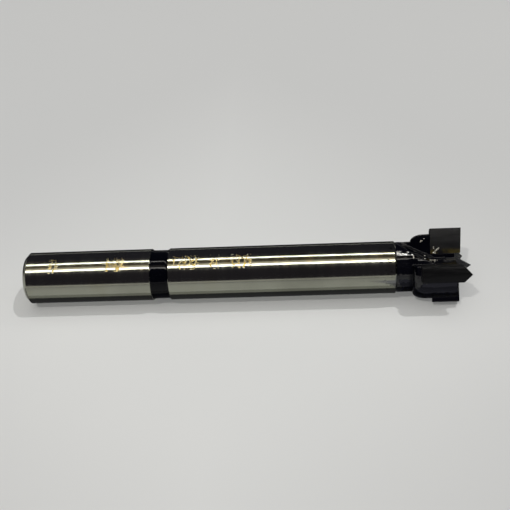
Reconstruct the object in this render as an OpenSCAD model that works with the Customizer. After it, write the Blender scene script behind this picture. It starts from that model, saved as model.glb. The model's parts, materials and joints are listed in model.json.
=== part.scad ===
// Carbide-tipped boring bit: a steel body with brazed wing cutters, scoring spurs and a centre point.
// The tool's axis is +X. The shank's end face is at x = 0 and the point is at the +X end.
// The bit cuts when it turns right-handed about +X. It is turned as it lies on a flat surface: it rests on
// the second wing's corner, on the second spur's corner and on the back end of the shank.

/* [Shank] */
// Diameter of the ground shank
shank_d = 10; // [9:0.5:10.5]
// Length from the end face to the front end of the grinding
ground_length = 71.8; // [60:0.1:73]
// Chamfer round the end face
end_chamfer = 0.8; // [0.3:0.1:1.5]
// Distance from the end face to the ring groove
groove_start = 24.9; // [15:0.1:40]
// Width of the ring groove
groove_width = 3.5; // [2:0.1:5]
// Depth of the ring groove
groove_depth = 0.35; // [0.2:0.05:0.6]

/* [Head] */
// Diameter that the spurs cut
cut_d = 15; // [14.8:0.1:15.5]
// Diameter over the wing cutters
wing_d = 14.4; // [14:0.1:14.6]
// Diameter of the two lobes
head_d = 12.2; // [11.6:0.1:12.4]
// Distance from the end face of the shank to the end face of the lobes
head_end = 83.1; // [82.8:0.1:86]
// Length of the lobes, with their rounded shoulder
head_length = 8.3; // [8.1:0.1:9]
// Length of the rounded shoulder behind the lobes
shoulder_length = 2.4; // [1:0.1:3]
// Distance that the neck is below the ground shank
neck_step = 0.25; // [0.1:0.05:0.4]
// Length of the gullets' straight stretch, back from the end face of the lobes
gullet_length = 4.1; // [3.8:0.1:4.6]
// Slope of the gullets' run-out
runout_slope = 26; // [22:1:30]
// Radius in the corner of the gullets
gullet_corner_r = 0.3; // [0.2:0.05:0.3]
// Turn of the first wing cutter about the axis, from +Y towards +Z
wing_turn = 45; // [40:1:57]
// Turn from a wing cutter forward to the next spur
spur_lead = 104; // [96:1:108]

/* [Carbide] */
// Length of a wing plate along the axis
wing_length = 5.9; // [5:0.1:6.5]
// Thickness of a wing plate
wing_thickness = 1.8; // [1.4:0.1:2]
// Distance from the axis to the inner end of a wing plate
wing_inner = 2.35; // [2.35:0.05:2.6]
// Height of the wing's outer corner above the lobes' end face
wing_proud = 1.35; // [0.6:0.05:1.5]
// Slope of the wing's end edge, down towards the axis
wing_dish = 3; // [1:0.5:4]
// Clearance behind the wing's cutting edges
wing_clearance = 6; // [3:1:6]
// Width of a spur bar, and of the centre bar
bar_width = 3; // [2.6:0.1:3.2]
// Thickness of a spur bar
spur_thickness = 2.4; // [2.1:0.1:2.6]
// Length of a spur bar, to the tip of its point
spur_length = 9.2; // [8:0.1:9.4]
// Height of the spurs' tips above the lobes' end face
spur_proud = 2.4; // [1.8:0.05:2.6]
// Height of the centre point above the lobes' end face
point_proud = 3.1; // [2:0.1:3.4]
// Depth of the centre bar in the head
point_depth = 1.7; // [1.6:0.1:4]
// Height of the carbide above the gullets' walls
carbide_proud = 0.1; // [0.06:0.02:0.14]
// Thickness of the braze layers
braze = 0.1; // [0.06:0.02:0.12]

/* [Hidden] */
$fn = 96;
shank_r = shank_d / 2;
cut_r = cut_d / 2;
wing_r = wing_d / 2;
head_r = head_d / 2;
neck_r = shank_r - neck_step;
groove_r = shank_r - groove_depth;
groove_end = groove_start + groove_width;
groove_slope = 0.2;
head_chamfer = 0.3;
head_start = head_end - head_length;
gullet_start = head_end - gullet_length;
wing_end = head_end + wing_proud;
wing_start = wing_end - wing_length;
wing_back = carbide_proud - wing_thickness;
bar_half = bar_width / 2;
spur_inner = cut_r - spur_thickness;
spur_tip = head_end + spur_proud;
spur_start = spur_tip - spur_length;
point_tip = head_end + point_proud;
point_start = head_end - point_depth;
shoulder_gap = 0.1;
spur_turn = wing_turn + spur_lead;
half_turn = 180;
far = 20;
steel_colour = "silver";
carbide_colour = "dimgray";
braze_colour = "darkkhaki";

// A point at a distance from the axis, in the direction of an angle
function polar(distance, angle) = distance * [cos(angle), sin(angle)];

// Lays a part that stands on +Z along the tool's axis, with its own +X side turned to an angle from +Y
module lay(turn) {
    rotate([0, 90, 0]) rotate([0, 0, turn + 90]) children();
}

// The turned shank and neck, which runs on as a core to the lobes' end face
module turned_shank() {
    rotate_extrude() polygon(concat(
        [[0, 0], [shank_r - end_chamfer, 0], [shank_r, end_chamfer]],
        [[shank_r, groove_start], [groove_r, groove_start + groove_slope]],
        [[groove_r, groove_end - groove_slope], [shank_r, groove_end]],
        [[shank_r, ground_length - neck_step], [neck_r, ground_length], [neck_r, head_end], [0, head_end]]
    ));
}

// The turned head, with a rounded shoulder
module turned_head() {
    rotate_extrude() polygon(concat(
        [[0, head_start]],
        [for (a = [0:15:90]) [
            neck_r + (head_r - neck_r) * sin(a),
            head_start + shoulder_length * (1 - cos(a))]],
        [[head_r, head_end - head_chamfer], [head_r - head_chamfer, head_end], [0, head_end]]
    ));
}

// Outline of a gullet: one wall is beside the wing's rake face, the other is beside the next spur bar
module gullet_outline() {
    corner = [(bar_half - carbide_proud) / cos(spur_lead - 90), 0];
    tangent = gullet_corner_r / tan(spur_lead / 2);
    polygon([
        corner + polar(tangent, 0), corner + polar(far, 0), corner + polar(far, spur_lead / 2),
        corner + polar(far, spur_lead), corner + polar(tangent, spur_lead)
    ]);
    translate(corner + polar(gullet_corner_r / sin(spur_lead / 2), spur_lead / 2)) circle(gullet_corner_r);
}

// A gullet's straight stretch, from a distance along the tool to past the end face
module gullet_bed(start) {
    translate([0, 0, start]) linear_extrude(far) gullet_outline();
}

// The sloping stretch that a gullet runs out through, along the wing's rake plane and into the neck
module gullet_runout() {
    intersection() {
        translate([0, 0, gullet_start]) rotate([0, -runout_slope, 0])
            translate([0, 0, -far]) linear_extrude(far + 2) gullet_outline();
        translate([-far, -far, gullet_start - far]) cube([2 * far, 2 * far, far]);
    }
}

// Shank, neck and lobes with both gullets milled
module milled_blank() {
    difference() {
        union() {
            lay(0) turned_shank();
            difference() {
                lay(0) turned_head();
                lay(wing_turn) gullet_bed(head_start - 1);
                lay(wing_turn + half_turn) gullet_bed(head_start - 1);
            }
        }
        for (half = [0, half_turn]) {
            lay(wing_turn + half) gullet_bed(gullet_start);
            lay(wing_turn + half) gullet_runout();
        }
    }
}

// Pocket that a wing plate is brazed in
module wing_pocket() {
    translate([wing_inner - braze, wing_back - braze, wing_start - braze]) cube([far, far, far]);
}

// A wing plate, with a dished end edge and clearance behind its end and its rim
module wing_plate() {
    intersection() {
        translate([wing_inner, wing_back, wing_start]) cube([far, wing_thickness, far]);
        translate([wing_r, carbide_proud, wing_end]) rotate([wing_clearance, -wing_dish, 0])
            translate([-far, -far, -far]) cube([2 * far, 2 * far, far]);
        translate([wing_r, carbide_proud, wing_start]) rotate([0, 0, -wing_clearance])
            translate([-far, -far, -far]) cube([far, 2 * far, 2 * far]);
    }
}

// Pocket that a spur bar is brazed in
module spur_pocket() {
    translate([spur_inner - braze, -bar_half - braze, spur_start - braze])
        cube([far, bar_width + 2 * braze, far]);
}

// Side of a spur bar, with its 90 degree point
module spur_side() {
    polygon([[-bar_half, spur_start], [bar_half, spur_start],
        [bar_half, spur_tip - bar_half], [0, spur_tip], [-bar_half, spur_tip - bar_half]]);
}

// Section of a spur bar along the axis, bevelled inwards from its tip
module spur_section() {
    polygon([[spur_inner, spur_start], [far, spur_start], [far, spur_tip],
        [cut_r, spur_tip], [spur_inner, head_end + shoulder_gap]]);
}

// A spur: a pointed bar with its rim side ground round
module spur_bar() {
    intersection() {
        rotate([90, 0, 90]) linear_extrude(far) spur_side();
        rotate([90, 0, 0]) linear_extrude(far, center = true) spur_section();
        cylinder(h = spur_tip, r = cut_r);
    }
}

// Pocket that the centre bar is brazed in
module point_pocket() {
    side = bar_width + 2 * braze;
    translate([-side / 2, -side / 2, point_start - braze]) cube([side, side, far]);
}

// Side of the centre bar, with its point
module point_side() {
    polygon([[-bar_half, point_start], [bar_half, point_start],
        [bar_half, head_end + shoulder_gap], [0, point_tip], [-bar_half, head_end + shoulder_gap]]);
}

// The centre bar: square, with a four-sided point
module point_bar() {
    intersection() {
        rotate([90, 0, 90]) linear_extrude(far, center = true) point_side();
        rotate([90, 0, 0]) linear_extrude(far, center = true) point_side();
    }
}

// Steel body: ground shank, ring groove, neck and two lobes, with a pocket for each piece of carbide
module body() {
    color(steel_colour) difference() {
        milled_blank();
        for (half = [0, half_turn]) {
            lay(wing_turn + half) wing_pocket();
            lay(spur_turn + half) spur_pocket();
        }
        lay(spur_turn) point_pocket();
    }
}

// Wing cutter, which planes the bottom of the hole
module wing_cutter(half) {
    color(carbide_colour) lay(wing_turn + half) wing_plate();
}

// Spur, which scores the rim of the hole
module spur(half) {
    color(carbide_colour) lay(spur_turn + half) spur_bar();
}

// Centre point, which guides the bit
module centre_point() {
    color(carbide_colour) lay(spur_turn) point_bar();
}

// Braze that fills what is left of a pocket: the first child is the pocket, the second is its carbide
module braze_layer() {
    color(braze_colour) difference() {
        intersection() {
            milled_blank();
            children(0);
        }
        children(1);
    }
}

module braze_wing(half) {
    braze_layer() {
        lay(wing_turn + half) wing_pocket();
        lay(wing_turn + half) wing_plate();
    }
}

module braze_spur(half) {
    braze_layer() {
        lay(spur_turn + half) spur_pocket();
        lay(spur_turn + half) spur_bar();
    }
}

module braze_centre() {
    braze_layer() {
        lay(spur_turn) point_pocket();
        lay(spur_turn) point_bar();
    }
}

body();
wing_cutter(0);  // wing_cutter_a
wing_cutter(half_turn);  // wing_cutter_b
spur(0);  // spur_a
spur(half_turn);  // spur_b
centre_point();
braze_wing(0);  // braze_wing_a
braze_wing(half_turn);  // braze_wing_b
braze_spur(0);  // braze_spur_a
braze_spur(half_turn);  // braze_spur_b
braze_centre();
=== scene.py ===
"""Visual model of a carbide-tipped boring bit: ground steel shank, lacquered head and brazed carbide."""

import json
import math

import bmesh
import bpy
from mathutils import Matrix, Vector, noise

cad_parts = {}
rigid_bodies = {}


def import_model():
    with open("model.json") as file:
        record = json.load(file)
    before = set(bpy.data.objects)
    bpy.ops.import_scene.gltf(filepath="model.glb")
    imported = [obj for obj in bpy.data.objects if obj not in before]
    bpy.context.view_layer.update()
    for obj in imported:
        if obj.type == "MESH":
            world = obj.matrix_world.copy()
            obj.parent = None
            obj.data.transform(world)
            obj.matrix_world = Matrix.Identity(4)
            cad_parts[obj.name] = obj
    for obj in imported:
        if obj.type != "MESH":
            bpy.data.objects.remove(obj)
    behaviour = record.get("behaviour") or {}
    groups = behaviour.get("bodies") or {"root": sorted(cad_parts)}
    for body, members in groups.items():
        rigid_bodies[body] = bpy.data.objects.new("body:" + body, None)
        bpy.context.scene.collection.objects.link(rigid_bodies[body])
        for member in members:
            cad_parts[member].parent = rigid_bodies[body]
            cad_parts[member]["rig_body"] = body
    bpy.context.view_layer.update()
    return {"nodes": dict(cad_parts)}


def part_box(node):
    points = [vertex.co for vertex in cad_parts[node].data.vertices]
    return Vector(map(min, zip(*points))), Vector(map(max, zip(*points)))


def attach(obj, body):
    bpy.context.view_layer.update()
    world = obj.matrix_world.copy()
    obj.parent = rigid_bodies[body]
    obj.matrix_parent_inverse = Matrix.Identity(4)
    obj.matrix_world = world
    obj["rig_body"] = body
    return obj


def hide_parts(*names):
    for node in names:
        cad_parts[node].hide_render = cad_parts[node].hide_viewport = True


MM = 0.001

# Sizes along the tool, in metres from the shank's end face
SHANK_R = 5.0 * MM
END_CHAMFER = 0.8 * MM
GROOVE_START = 24.9 * MM
GROOVE_END = 28.4 * MM
GROOVE_R = 4.65 * MM
GROUND_END = 71.55 * MM
NECK_START = 71.8 * MM
NECK_R = 4.75 * MM

# Flat runs of lacquer on the neck: the middle and half the width of each, in degrees about the axis
NECK_FLATS = ((102.6, 6.0), (128.0, 10.5))

# Turn of the first wing about the axis, in degrees from +Y towards +Z
WING_TURN = 45.0
WING_R = 7.2 * MM

# How much less the second wing has at its end and its rim, and how far the lacquer stops short of both
WORN_END = 0.9 * MM
WORN_RIM = 0.35 * MM
BACKING_GAP = 0.1 * MM
BRAZE_NODES = ("braze_wing_a", "braze_wing_b", "braze_spur_a", "braze_spur_b", "braze_centre")

# Drops of braze: along the tool, out from the axis, ahead of the rake face, and radius, in millimetres
SOLDER_DROPS = (
    (79.15, 3.62, 0.1, 0.11), (79.2, 3.36, 0.1, 0.10), (79.92, 3.22, 0.1, 0.16), (80.14, 3.42, 0.1, 0.12),
    (79.66, 2.98, 0.1, 0.17), (79.42, 2.74, 0.1, 0.16), (79.2, 2.52, 0.1, 0.18), (79.42, 2.44, 0.1, 0.12),
    (76.9, 4.85, 0.1, 0.19), (76.7, 4.72, 0.1, 0.12), (77.4, 5.25, 0.1, 0.10),
    (74.98, 1.80, 4.46, 0.13), (75.0, 1.56, 4.53, 0.15), (77.29, 1.95, 1.98, 0.12),
    (77.04, 1.34, 4.53, 0.11), (78.1, 1.12, 3.6, 0.08), (78.4, 1.13, 3.1, 0.10),
    (78.65, 1.13, 2.5, 0.09), (79.0, 1.13, 1.85, 0.11), (79.3, 1.1, 1.83, 0.08), (79.6, 1.05, 1.83, 0.07),
)

# Groups of etched ticks: start, end and pitch along the tool, in millimetres
ETCHED_GROUPS = (
    (5.2, 7.0, 0.83), (16.0, 20.0, 0.97), (29.4, 34.4, 1.05), (36.5, 38.3, 0.9), (40.6, 44.6, 1.1),
)

# Where the lacquer is dull (inside this radius, from this length on) and where its glossy run ends
DULL_R = (5.6 * MM, 5.0 * MM)
DULL_FROM = (73.7 * MM, 74.5 * MM)
RUN_TURN = (96.0, 110.0)
RUN_END = 75.1 * MM

# Camera: angles in degrees, seen from the -Y side
CAMERA_X = 59.6 * MM
CAMERA_DISTANCE = 193.5 * MM
CAMERA_ELEVATION = 45.0
CAMERA_YAW = -4.35
CAMERA_PITCH = 0.94
CAMERA_ROLL = -1.75
FOCAL_LENGTH = 70.6


# ---------------------------------------------------------------- meshes


def add_object(name, mesh):
    piece = bpy.data.objects.new(name, mesh)
    bpy.context.scene.collection.objects.link(piece)
    return piece


def mesh_from(bm, name, sharp_degrees=30):
    mesh = bpy.data.meshes.new(name)
    bmesh.ops.recalc_face_normals(bm, faces=bm.faces)
    bm.to_mesh(mesh)
    bm.free()
    mesh.shade_smooth()
    mesh.set_sharp_from_angle(angle=math.radians(sharp_degrees))
    return mesh


def lathe(name, profile, segments=192):
    """A closed solid of revolution about +X from (x, radius) points whose first and last radius are 0."""
    bm = bmesh.new()
    rings = []
    for x, r in profile[1:-1]:
        ring = []
        for i in range(segments):
            turn = 2 * math.pi * i / segments
            ring.append(bm.verts.new((x, r * math.cos(turn), r * math.sin(turn))))
        rings.append(ring)
    for a, b in zip(rings, rings[1:]):
        for i in range(segments):
            j = (i + 1) % segments
            bm.faces.new((a[i], a[j], b[j], b[i]))
    for (x, _), ring in ((profile[0], rings[0]), (profile[-1], rings[-1])):
        tip = bm.verts.new((x, 0, 0))
        for i in range(segments):
            bm.faces.new((tip, ring[i], ring[(i + 1) % segments]))
    return add_object(name, mesh_from(bm, name))


def near_wing(turn, along, out, forward):
    """A point by a wing: distance along the tool, out from the axis and ahead of the rake face."""
    a = math.radians(turn)
    outward = Vector((0, math.cos(a), math.sin(a)))
    ahead = Vector((0, -math.sin(a), math.cos(a)))
    return Vector((along, 0, 0)) + out * outward + forward * ahead


def tidy_cad_mesh(node):
    """The CAD node's mesh as a bmesh, with shared vertices and whole flat faces."""
    bm = bmesh.new()
    bm.from_mesh(frame["nodes"][node].data)
    bmesh.ops.remove_doubles(bm, verts=bm.verts, dist=0.0005 * MM)
    bmesh.ops.dissolve_limit(bm, angle_limit=math.radians(0.5), verts=bm.verts, edges=bm.edges)
    return bm


def ground_piece(node, name, edge_width, wear, cuts=()):
    """A piece of carbide: the CAD shape with small worn bevels on its edges."""
    bm = tidy_cad_mesh(node)
    for point, outward in cuts:
        trim(bm, point, outward)
    sharp = [e for e in bm.edges if e.is_manifold and e.calc_face_angle(0) > math.radians(20)]
    bmesh.ops.bevel(
        bm, geom=sharp, offset=edge_width, segments=2, profile=0.5, affect="EDGES", clamp_overlap=True
    )
    for v in bm.verts:
        v.co -= v.normal * wear * max(0.0, noise.noise(v.co / (0.5 * MM)))
    piece = add_object(name, mesh_from(bm, name))
    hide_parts(node)
    return piece


def soften(mesh, rounds):
    """Evens out a dense mesh without losing its sharp steps entirely."""
    bm = bmesh.new()
    bm.from_mesh(mesh)
    for _ in range(rounds):
        bmesh.ops.smooth_vert(
            bm, verts=bm.verts, factor=0.5, use_axis_x=True, use_axis_y=True, use_axis_z=True
        )
    bm.to_mesh(mesh)
    bm.free()


def lacquer_thickness(point):
    """Thickness of the lacquer: it has runs and sags, and is thinner at its back edge."""
    base = 0.045 * MM
    sag = 0.035 * MM * noise.noise(point / (1.6 * MM))
    ripple = 0.012 * MM * noise.noise(point / (0.5 * MM) + Vector((7.0, 3.0, 1.0)))
    edge = min(1.0, max(0.0, (point.x - NECK_START) / (0.25 * MM)))
    return (base + sag + ripple) * edge + neck_flat(point)


def neck_flat(point):
    """Two flat runs of lacquer along the neck: a narrow one on top and a wider one below it."""
    if point.x > NECK_START + 4.0 * MM:
        return 0.0
    turn = math.atan2(point.z, point.y)
    for middle, half in NECK_FLATS:
        off = turn - math.radians(middle)
        if abs(off) < math.radians(half):
            return NECK_R * (math.cos(math.radians(half)) / math.cos(off) - 1)
    return 0.0


def trim(bm, point, outward):
    """Cuts off what lies beyond a plane and closes the cut."""
    geometry = list(bm.verts) + list(bm.edges) + list(bm.faces)
    cut = bmesh.ops.bisect_plane(bm, geom=geometry, plane_co=point, plane_no=outward, clear_outer=True)
    edges = [e for e in cut["geom_cut"] if isinstance(e, bmesh.types.BMEdge)]
    bmesh.ops.holes_fill(bm, edges=edges)


def wing_backing(node, turn):
    """The back half of a wing plate, which the lacquer runs over."""
    bm = tidy_cad_mesh(node)
    trim(bm, near_wing(turn, 0, 0, -0.75 * MM), near_wing(turn, 0, 0, 1))
    trim(bm, near_wing(turn, 0, WING_R - WORN_RIM - BACKING_GAP, 0), near_wing(turn, 0, 1, 0))
    trim(bm, (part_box(node)[1].x - WORN_END - BACKING_GAP, 0, 0), (1, 0, 0))
    return bm


def worn_corner():
    """The second wing is ground back a little at its end and its rim."""
    turn = WING_TURN + 180
    end = (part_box("wing_cutter_b")[1].x - WORN_END, 0, 0)
    return (end, (1, 0, 0)), (near_wing(turn, 0, WING_R - WORN_RIM, 0), near_wing(turn, 0, 1, 0))


def lacquered_head():
    """The neck, the two lobes and the wings' backs under a thick coat of lacquer, made from the CAD body."""
    parts = [tidy_cad_mesh("body")]
    trim(parts[0], (NECK_START - 0.04 * MM, 0, 0), (-1, 0, 0))
    parts += [tidy_cad_mesh(node) for node in BRAZE_NODES]
    parts += [wing_backing("wing_cutter_a", WING_TURN), wing_backing("wing_cutter_b", WING_TURN + 180)]
    bm = bmesh.new()
    for part in parts:
        bmesh.ops.triangulate(part, faces=part.faces)
        piece_mesh = mesh_from(part, "lacquer_source")
        bm.from_mesh(piece_mesh)
        bpy.data.meshes.remove(piece_mesh)
    piece = add_object("lacquered_head", mesh_from(bm, "lacquered_head"))
    remesh = piece.modifiers.new("voxels", "REMESH")
    remesh.mode = "VOXEL"
    remesh.voxel_size = 0.08 * MM
    dense = bpy.data.meshes.new_from_object(piece.evaluated_get(bpy.context.evaluated_depsgraph_get()))
    piece.modifiers.clear()
    piece.data = dense
    soften(dense, 3)
    points = [v.co.copy() for v in dense.vertices]
    normals = [v.normal.copy() for v in dense.vertices]
    for v, p, n in zip(dense.vertices, points, normals):
        v.co = p + n * lacquer_thickness(p)
    dense.shade_smooth()
    dense.update()
    return piece


def ground_shank():
    """The bare shank: a chamfered end with a shallow centre mark, and a ring groove between two cylinders."""
    r = SHANK_R
    soft = 0.05 * MM
    profile = [
        (0.12 * MM, 0), (0.1 * MM, 0.35 * MM), (0.0, 0.6 * MM), (0.0, r - END_CHAMFER - soft),
        (soft * 0.4, r - END_CHAMFER), (END_CHAMFER - soft, r - soft * 0.7), (END_CHAMFER, r - soft * 0.15),
        (END_CHAMFER + soft, r), (GROOVE_START - soft, r), (GROOVE_START, r - soft * 0.6),
        (GROOVE_START + 0.16 * MM, GROOVE_R), (GROOVE_END - 0.16 * MM, GROOVE_R),
        (GROOVE_END, r - soft * 0.6), (GROOVE_END + soft, r), (GROUND_END - soft, r),
        (GROUND_END, r - soft * 0.3), (NECK_START, NECK_R), (NECK_START, 0),
    ]
    piece = lathe("ground_shank", profile)
    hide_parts("body")
    return piece


def groove_coat():
    """Lacquer in the ring groove, with a meniscus up both walls."""
    a, b = GROOVE_START + 0.06 * MM, GROOVE_END - 0.06 * MM
    low = GROOVE_R + 0.06 * MM
    profile = [
        (a, 0), (a, low + 0.16 * MM), (a + 0.1 * MM, low + 0.1 * MM), (a + 0.35 * MM, low + 0.01 * MM),
        (a + 0.8 * MM, low), (b - 0.8 * MM, low), (b - 0.35 * MM, low + 0.01 * MM),
        (b - 0.1 * MM, low + 0.1 * MM), (b, low + 0.16 * MM), (b, 0),
    ]
    return lathe("groove_coat", profile)


def solder_drops(places):
    """Small drops of braze that ran out by the wings' pockets, along the centre bar and on the neck."""
    bm = bmesh.new()
    for n, (centre, size) in enumerate(places):
        made = bmesh.ops.create_icosphere(bm, subdivisions=3, radius=size)
        for v in made["verts"]:
            rough = 1 + 0.45 * noise.noise(v.co / (0.6 * size) + Vector((n * 3.1, 1.7, 0.4)))
            v.co = v.co * rough + centre
    return add_object("solder_drops", mesh_from(bm, "solder_drops", 60))


# ---------------------------------------------------------------- materials


class Shader:
    """Builds one node material around a Principled shader."""

    def __init__(self, name):
        self.material = bpy.data.materials.new(name)
        self.material.use_nodes = True
        self.tree = self.material.node_tree
        self.out = self.tree.nodes["Principled BSDF"]
        self.at = self.add("ShaderNodeTexCoord").outputs["Object"]

    def add(self, kind, values=None, **settings):
        made = self.tree.nodes.new(kind)
        for key, value in settings.items():
            setattr(made, key, value)
        for key, value in (values or {}).items():
            if hasattr(value, "is_output"):
                self.tree.links.new(value, made.inputs[key])
            else:
                made.inputs[key].default_value = value
        return made

    def set(self, **values):
        for key, value in values.items():
            socket = self.out.inputs[key.replace("_", " ")]
            if hasattr(value, "is_output"):
                self.tree.links.new(value, socket)
            else:
                socket.default_value = value

    def math(self, operation, *values):
        return self.add("ShaderNodeMath", dict(enumerate(values)), operation=operation).outputs[0]

    def noise(self, scale, detail=3.0, rough=0.5, stretch=(1, 1, 1)):
        moved = self.add("ShaderNodeMapping", {"Vector": self.at, "Scale": stretch})
        values = {"Vector": moved.outputs[0], "Scale": scale, "Detail": detail, "Roughness": rough}
        return self.add("ShaderNodeTexNoise", values).outputs["Fac"]

    def ramp(self, value, low, high, a=0.0, b=1.0):
        values = {0: value, 1: low, 2: high, 3: a, 4: b}
        return self.add("ShaderNodeMapRange", values, interpolation_type="SMOOTHSTEP").outputs[0]

    def colours(self, value, *stops):
        ramp = self.add("ShaderNodeValToRGB", {"Fac": value})
        band = ramp.color_ramp
        while len(band.elements) < len(stops):
            band.elements.new(0.5)
        for element, (place, colour) in zip(band.elements, stops):
            element.position = place
            element.color = (*colour, 1)
        return ramp.outputs["Color"]

    def mix(self, share, a, b):
        mixed = self.add("ShaderNodeMix", data_type="RGBA")
        for socket, value in ((mixed.inputs[0], share), (mixed.inputs[6], a), (mixed.inputs[7], b)):
            if hasattr(value, "is_output"):
                self.tree.links.new(value, socket)
            else:
                socket.default_value = value if isinstance(value, float) else (*value, 1)
        return mixed.outputs[2]

    def bump(self, height, strength, distance, below=None):
        values = {"Height": height, "Strength": strength, "Distance": distance}
        if below is not None:
            values["Normal"] = below
        return self.add("ShaderNodeBump", values).outputs[0]

    def parts(self):
        return self.add("ShaderNodeSeparateXYZ", {0: self.at}).outputs

    def turn(self):
        """Angle about the tool's axis in degrees, from +Y towards +Z."""
        parts = self.parts()
        return self.math("MULTIPLY", self.math("ARCTAN2", parts["Z"], parts["Y"]), math.degrees(1))


def between(shader, value, low, high, soft):
    """1 where value lies between low and high, with soft borders."""
    rise = shader.ramp(value, low - soft, low + soft)
    fall = shader.ramp(value, high - soft, high + soft, 1.0, 0.0)
    return shader.math("MULTIPLY", rise, fall)


def etched_marks(shader, along, turn):
    """Groups of worn etched ticks along the shank, with ragged outlines round them and no lettering."""
    wobble = shader.math("MULTIPLY", shader.math("SUBTRACT", shader.noise(2600, 2), 0.5), 0.7 * MM)
    slant = shader.math("MULTIPLY", turn, 0.012 * MM)
    place = shader.math("ADD", shader.math("ADD", along, wobble), slant)
    ragged = between(shader, shader.noise(900, 1), 0.478, 0.522, 0.008)
    ragged = shader.math("MULTIPLY", ragged, between(shader, turn, 92.0, 126.0, 1.5))
    ends = shader.math("MULTIPLY", shader.math("SUBTRACT", shader.noise(1900, 1), 0.5), 26.0)
    height = between(shader, shader.math("ADD", turn, ends), 101.0, 119.0, 1.0)
    total = None
    for start, end, pitch in ETCHED_GROUPS:
        step = shader.math("FRACT", shader.math("DIVIDE", place, pitch * MM))
        bar = shader.math("MULTIPLY", between(shader, step, 0.42, 0.56, 0.06), height)
        group = shader.math("MAXIMUM", bar, ragged)
        group = shader.math("MULTIPLY", group, between(shader, along, start * MM, end * MM, 0.25 * MM))
        total = group if total is None else shader.math("MAXIMUM", total, group)
    return total


def ground_steel():
    """Ground steel with fine rings round it, the etched marks and a few black specks by the head."""
    s = Shader("ground_steel")
    parts = s.parts()
    turn = s.turn()
    rings = s.noise(900, 5, 0.7, stretch=(9, 0.25, 0.25))
    coarse = s.noise(160, 3, 0.6, stretch=(6, 0.3, 0.3))
    patches = s.noise(90, 4, 0.6)
    steel = s.colours(
        patches, (0.3, (0.255, 0.260, 0.214)), (0.6, (0.304, 0.310, 0.258)), (0.8, (0.28, 0.275, 0.210))
    )
    marks = etched_marks(s, parts["X"], turn)
    gold = s.colours(
        s.noise(1400, 3), (0.3, (0.10, 0.07, 0.02)), (0.55, (0.36, 0.26, 0.07)), (0.8, (0.50, 0.43, 0.20))
    )
    near_head = between(s, parts["X"], 69.6 * MM, 72.0 * MM, 0.6 * MM)
    dots = s.ramp(s.noise(1900, 2), 0.66, 0.69)
    specks = s.math("MULTIPLY", dots, near_head)
    # A patchy straw-coloured band along the whole shank, on the side that carries the marks, between 96 and
    # 128 degrees about the axis.
    straw = s.ramp(s.noise(420, 3), 0.5, 0.75, 0.0, 0.5)
    straw_band = s.math("MULTIPLY", straw, between(s, turn, 96.0, 128.0, 7.0))
    colour = s.mix(straw_band, steel, (0.50, 0.40, 0.22))
    colour = s.mix(marks, colour, gold)
    colour = s.mix(specks, colour, (0.006, 0.006, 0.008))
    rough = s.ramp(coarse, 0.3, 0.7, 0.13, 0.2)
    rough = s.math("ADD", rough, s.math("MULTIPLY", marks, 0.25))
    normal = s.bump(rings, 0.10, 0.004 * MM)
    normal = s.bump(coarse, 0.10, 0.012 * MM, normal)
    normal = s.bump(marks, 0.5, -0.02 * MM, normal)
    tangent = s.add("ShaderNodeTangent", direction_type="RADIAL", axis="X").outputs[0]
    s.set(Base_Color=colour, Metallic=1.0, Roughness=rough, Normal=normal, Tangent=tangent)
    s.set(Anisotropic=0.75, Anisotropic_Rotation=0.25)
    return s.material


def span(shader, parts):
    """Distance from the tool's axis."""
    squares = (shader.math("POWER", parts[axis], 2.0) for axis in "YZ")
    return shader.math("SQRT", shader.math("ADD", *squares))


def black_lacquer():
    """Black lacquer, duller in the gullets and the ring groove, with a glossier run on the neck."""
    s = Shader("black_lacquer")
    waves = s.noise(700, 3, 0.5)
    curls = s.noise(1700, 2, 0.5)
    pores = s.noise(5200, 2, 0.5)
    dust = s.ramp(s.noise(7000, 2), 0.70, 0.74)
    colour = s.mix(s.math("MULTIPLY", dust, 0.3), (0.0011, 0.0013, 0.0030), (0.08, 0.08, 0.09))
    normal = s.bump(waves, 0.42, 0.06 * MM)
    normal = s.bump(curls, 0.3, 0.03 * MM, normal)
    normal = s.bump(pores, 0.2, 0.004 * MM, normal)
    parts = s.parts()
    dull = s.math("MULTIPLY", s.ramp(span(s, parts), *DULL_R), s.ramp(parts["X"], *DULL_FROM))
    dull = s.math("MAXIMUM", dull, between(s, parts["X"], GROOVE_START, GROOVE_END, 0.3 * MM))
    along = between(s, parts["X"], NECK_START, RUN_END, 0.3 * MM)
    run = s.math("MULTIPLY", between(s, s.turn(), *RUN_TURN, 1.5), along)
    level = s.math("SUBTRACT", 0.5, s.math("MULTIPLY", dull, 0.36))
    s.set(Base_Color=colour, Roughness=s.ramp(waves, 0.3, 0.7, 0.035, 0.1), Normal=normal)
    s.set(IOR=1.47, Specular_IOR_Level=s.math("MAXIMUM", level, run))
    return s.material


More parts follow.
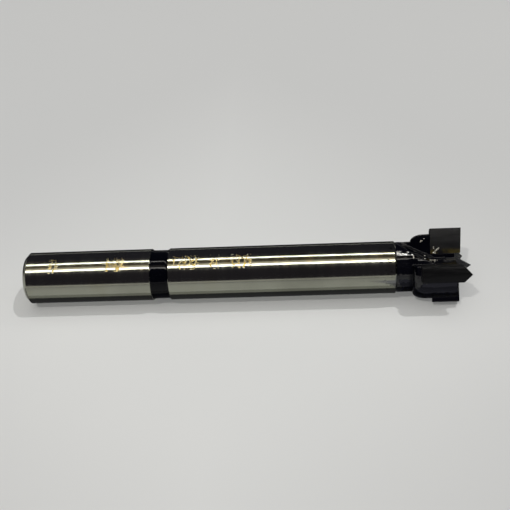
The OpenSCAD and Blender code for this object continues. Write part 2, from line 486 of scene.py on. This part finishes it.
def carbide(name, tone, tinted=0.0):
    """Ground tungsten carbide: fine grinding streaks along the tool, a golden heat tint near the axis, and
    painted shade that darkens its outer part, which also reflects less.
    """
    s = Shader(name)
    parts = s.parts()
    streaks = s.noise(500, 4, 0.65, stretch=(0.5, 7, 7))
    grain = s.noise(6500, 3, 0.6)
    cloud = s.noise(420, 3, 0.5)
    grey = s.colours(
        streaks, (0.25, tuple(0.7 * c for c in tone)), (0.55, tone), (0.8, tuple(1.5 * c for c in tone))
    )
    out = span(s, parts)
    # Painted shade: the carbide is painted darker, and made less shiny, towards its outer edge away from the
    # axis.
    painted_shade_rim = s.ramp(out, 4.6 * MM, 6.6 * MM)
    grey = s.mix(s.math("MULTIPLY", painted_shade_rim, 0.4), grey, (0.0, 0.0, 0.0))
    tint = s.math("MULTIPLY", s.ramp(out, 3.6 * MM, 2.6 * MM), s.ramp(cloud, 0.42, 0.6))
    colour = s.mix(s.math("MULTIPLY", tint, tinted), grey, (0.11, 0.085, 0.022))
    rough = s.ramp(streaks, 0.3, 0.7, 0.30, 0.46)
    normal = s.bump(streaks, 0.35, 0.01 * MM)
    normal = s.bump(grain, 0.25, 0.003 * MM, normal)
    s.set(Base_Color=colour, Metallic=0.6, Roughness=rough, Normal=normal)
    s.set(Specular_IOR_Level=s.math("SUBTRACT", 0.5, s.math("MULTIPLY", painted_shade_rim, 0.3)))
    return s.material


def braze(name, bare):
    """Silver solder, with a black film of lacquer over all but a share of it."""
    s = Shader(name)
    lumps = s.noise(2600, 3, 0.6)
    metal = s.colours(lumps, (0.3, (0.46, 0.43, 0.36)), (0.55, (0.72, 0.70, 0.64)), (0.8, (0.90, 0.89, 0.85)))
    shown = s.ramp(s.noise(1300, 2), 1.0 - bare, 1.06 - bare)
    normal = s.bump(lumps, 0.5, 0.03 * MM)
    s.set(Base_Color=s.mix(shown, (0.002, 0.002, 0.004), metal), Metallic=shown, Normal=normal)
    s.set(Roughness=s.ramp(lumps, 0.3, 0.7, 0.3, 0.5))
    return s.material


def paper():
    """Pale paper with painted shade: it grows darker away from the middle, where less light falls on it."""
    s = Shader("paper")
    cloud = s.noise(9, 3, 0.5)
    fibres = s.noise(2200, 4, 0.6)
    colour = s.colours(cloud, (0.3, (0.775, 0.78, 0.765)), (0.7, (0.805, 0.805, 0.785)))
    parts = s.parts()
    # Painted shade: the paper is painted darker with distance from the tool, as the light falls off.
    away = s.math("ABSOLUTE", s.math("SUBTRACT", parts["X"], 36 * MM))
    beyond = s.math("ABSOLUTE", s.math("ADD", parts["Y"], 12 * MM))
    far = s.math("ADD", s.math("MULTIPLY", away, 0.8), beyond)
    shade = s.ramp(far, 14 * MM, 100 * MM)
    colour = s.mix(s.math("MULTIPLY", shade, 0.5), colour, (0.56, 0.56, 0.555))
    s.set(Base_Color=colour, Roughness=0.9, Normal=s.bump(fibres, 0.15, 0.02 * MM))
    s.set(Specular_IOR_Level=0.2)
    return s.material


def glow(name, colour, strength=1.0):
    """A plain glowing material for the cards of the studio."""
    material = bpy.data.materials.new(name)
    material.use_nodes = True
    tree = material.node_tree
    tree.nodes.clear()
    shine = tree.nodes.new("ShaderNodeEmission")
    shine.inputs["Color"].default_value = (*colour, 1)
    shine.inputs["Strength"].default_value = strength
    out = tree.nodes.new("ShaderNodeOutputMaterial")
    tree.links.new(shine.outputs[0], out.inputs["Surface"])
    return material


# ---------------------------------------------------------------- studio


def camera():
    e, yaw, pitch, roll = (math.radians(a) for a in (CAMERA_ELEVATION, CAMERA_YAW, CAMERA_PITCH, CAMERA_ROLL))
    tilt = Matrix.Rotation(-e, 3, "X")
    ahead = Vector((math.sin(yaw) * math.cos(pitch), math.cos(yaw) * math.cos(pitch), math.sin(pitch)))
    right = Vector((math.cos(yaw), -math.sin(yaw), 0))
    up = right.cross(ahead)
    side = math.cos(roll) * right + math.sin(roll) * up
    top = -math.sin(roll) * right + math.cos(roll) * up
    turn = Matrix((tilt @ side, tilt @ top, tilt @ -ahead)).transposed().to_4x4()
    data = bpy.data.cameras.new("camera")
    data.lens, data.sensor_width = FOCAL_LENGTH, 36
    data.clip_start, data.clip_end = 0.005, 20
    made = add_object("camera", data)
    place = tilt @ Vector((CAMERA_X, -CAMERA_DISTANCE, 0))
    made.matrix_world = Matrix.Translation(place) @ turn
    bpy.context.scene.camera = made


def floor():
    """A sheet of paper that touches the shank's back edge and the head's lowest corners."""
    heel = Vector((END_CHAMFER, 0, -SHANK_R))
    slope = 0.0
    for node in ("wing_cutter_b", "spur_b"):
        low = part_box(node)[0]
        slope = max(slope, (heel.z - low.z) / (low.x - heel.x))
    bm = bmesh.new()
    bmesh.ops.create_grid(bm, x_segments=8, y_segments=8, size=2.6)
    mesh = mesh_from(bm, "floor")
    made = add_object("floor", mesh)
    made.matrix_world = Matrix.Translation(heel) @ Matrix.Rotation(math.atan(slope), 4, "Y")
    mesh.materials.append(paper())


def backdrop():
    """A pale dome round the paper, which only the camera sees."""
    bm = bmesh.new()
    bmesh.ops.create_uvsphere(bm, u_segments=48, v_segments=24, radius=2.5)
    made = add_object("backdrop", mesh_from(bm, "backdrop", 180))
    made.data.materials.append(glow("backdrop", (0.50, 0.50, 0.495), 1.0))
    for ray in ("diffuse", "glossy", "transmission", "volume_scatter", "shadow"):
        setattr(made, "visible_" + ray, False)


def around(turn, radius, x=0.0):
    a = math.radians(turn)
    return Vector((x, radius * math.cos(a), radius * math.sin(a)))


def keep_to_reflections(name, bm, material):
    made = add_object(name, mesh_from(bm, name))
    made.data.materials.append(material)
    made.visible_camera = False
    made.visible_diffuse = False
    made.visible_shadow = False


def strip(name, start, end, radius, material, skew=0.0):
    """A long card beside the tool, between two angles about its axis. It shows only in reflections."""
    bm = bmesh.new()
    steps = max(1, int(abs(end - start) / 4))
    rows = []
    for i in range(steps + 1):
        turn = start + (end - start) * i / steps
        rows.append([bm.verts.new(around(turn + skew * x, radius, x)) for x in (-0.5, -0.1, 0.2, 0.65)])
    for a, b in zip(rows, rows[1:]):
        for i in range(3):
            bm.faces.new((a[i], a[i + 1], b[i + 1], b[i]))
    keep_to_reflections(name, bm, material)


def sun(name, turn, lean, strength, colour, size_degrees):
    """A distant lamp at an angle about the tool's axis, leaning towards +X."""
    a, b = math.radians(turn), math.radians(lean)
    source = Vector((math.sin(b), math.cos(b) * math.cos(a), math.cos(b) * math.sin(a)))
    data = bpy.data.lights.new(name, "SUN")
    data.energy, data.color, data.angle = strength, colour, math.radians(size_degrees)
    made = add_object(name, data)
    made.rotation_mode = "QUATERNION"
    made.rotation_quaternion = source.to_track_quat("Z", "Y")
    made.visible_glossy = False


def lights():
    sun("lamp_back", 81.5, 23.0, 0.67, (1.0, 1.0, 1.0), 0.7)
    sun("lamp_front", 114.5, -14.0, 0.48, (1.0, 0.985, 0.95), 0.7)
    sun("lamp_side", 60.0, 62.0, 0.09, (0.95, 0.97, 1.0), 4.0)
    data = bpy.data.lights.new("ceiling", "AREA")
    data.shape, data.size, data.energy, data.use_shadow = "DISK", 1.6, 6.9, False
    made = add_object("ceiling", data)
    made.location = (0.05, 0.0, 0.9)
    made.visible_glossy = False


def flag(name, y0, y1, z, material, x0=-0.3, x1=0.4):
    """A dark card that lies by the tool and shows only in reflections, in place of the floor mirrored there:
    a painted reflection, darkened as painted shade.
    """
    bm = bmesh.new()
    corners = [bm.verts.new(p) for p in ((x0, y0, z), (x1, y0, z), (x1, y1, z), (x0, y1, z))]
    bm.faces.new(corners)
    keep_to_reflections(name, bm, material)


def reflections():
    """What the shank mirrors: two tubes of light, a tan wall between them, and pale and dark cards."""
    strip("tube_back", 70.0, 72.1, 0.48, glow("tube_back", (1.0, 0.98, 0.92), 25.0), -8.0)
    strip("tube_front", 102.0, 107.2, 0.48, glow("tube_front", (1.0, 0.97, 0.91), 15.0))
    strip("tube_edge", 92.0, 102.0, 0.49, glow("tube_edge", (1.0, 0.90, 0.75), 1.1))
    strip("wall_tan", 82.0, 98.5, 0.5, glow("wall_tan", (0.60, 0.47, 0.27), 0.17))
    strip("wall_dark", 66.0, 82.0, 0.5, glow("wall_dark", (0.40, 0.34, 0.20), 0.12))
    strip("ceiling_back", 2.0, 66.0, 0.5, glow("ceiling_back", (0.036, 0.035, 0.048)))
    strip("ceiling_high", 98.5, 122.0, 0.5, glow("ceiling_high", (0.062, 0.058, 0.068)))
    strip("ceiling_front", 122.0, 172.0, 0.5, glow("ceiling_front", (0.036, 0.032, 0.042)))
    strip("card_front", 172.0, 179.0, 0.5, glow("card_front", (0.70, 0.68, 0.66), 1.0))
    # Painted shade in reflections: the near and middle flags stand for the shaded floor in front of the
    # shank, darkest next to it.
    near, middle = glow("flag_near", (0.05, 0.05, 0.055), 1.0), glow("flag_middle", (0.38, 0.38, 0.36), 1.0)
    flag("flag_near", -7.4 * MM, -3.0 * MM, -4.97 * MM, near)
    flag("flag_middle", -10.4 * MM, -7.4 * MM, -4.97 * MM, middle)
    # Painted reflection: a dark card in place of the floor mirrored behind the shank.
    flag("flag_back", 9.0 * MM, 0.12, -4.9 * MM, glow("flag_back", (0.03, 0.03, 0.034), 1.0))
    # Painted shade in reflections: the head's flags stand for the floor mirrored in the lacquer, darker
    # towards the tool.
    for n, (y0, y1, level) in enumerate(((-26.0, -14.0, 0.36), (-14.0, -7.5, 0.17), (-7.5, -3.0, 0.02))):
        shade = glow("flag_head_%d" % n, (level, level, 1.2 * level), 1.0)
        flag("flag_head_%d" % n, y0 * MM, y1 * MM, -4.9 * MM, shade, NECK_START + 1.1 * MM, 0.11)


# ---------------------------------------------------------------- the bit


def drops():
    made = []
    for turn in (WING_TURN, WING_TURN + 180):
        for x, out, up, size in SOLDER_DROPS:
            made.append((near_wing(turn, x * MM, out * MM, up * MM), size * MM))
    return solder_drops(made)


def dress(piece, material):
    piece.data.materials.clear()
    piece.data.materials.append(material)
    if "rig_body" not in piece:
        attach(piece, "root")


def build_bit():
    steel, lacquer = ground_steel(), black_lacquer()
    wing_material = carbide("carbide_wing", (0.018, 0.018, 0.019), 0.9)
    spur_material = carbide("carbide_spur", (0.018, 0.018, 0.019))
    point_material = carbide("carbide_point", (0.046, 0.047, 0.050))
    solder, covered = braze("braze_drops", 0.95), braze("braze_seam", 0.36)
    dress(ground_shank(), steel)
    dress(groove_coat(), lacquer)
    dress(lacquered_head(), lacquer)
    for side in ("a", "b"):
        cuts = worn_corner() if side == "b" else ()
        wing = ground_piece("wing_cutter_" + side, "wing_" + side, 0.05 * MM, 0.02 * MM, cuts)
        dress(wing, wing_material)
        spur = ground_piece("spur_" + side, "scoring_spur_" + side, 0.05 * MM, 0.02 * MM)
        dress(spur, spur_material)
    dress(ground_piece("centre_point", "point_bar", 0.04 * MM, 0.01 * MM), point_material)
    dress(drops(), solder)
    for node in BRAZE_NODES:
        piece = frame["nodes"][node]
        piece.material_slots[0].link = "OBJECT"
        piece.material_slots[0].material = covered


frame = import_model()
bpy.context.scene.view_settings.view_transform = "Standard"
build_bit()
floor()
backdrop()
lights()
reflections()
camera()
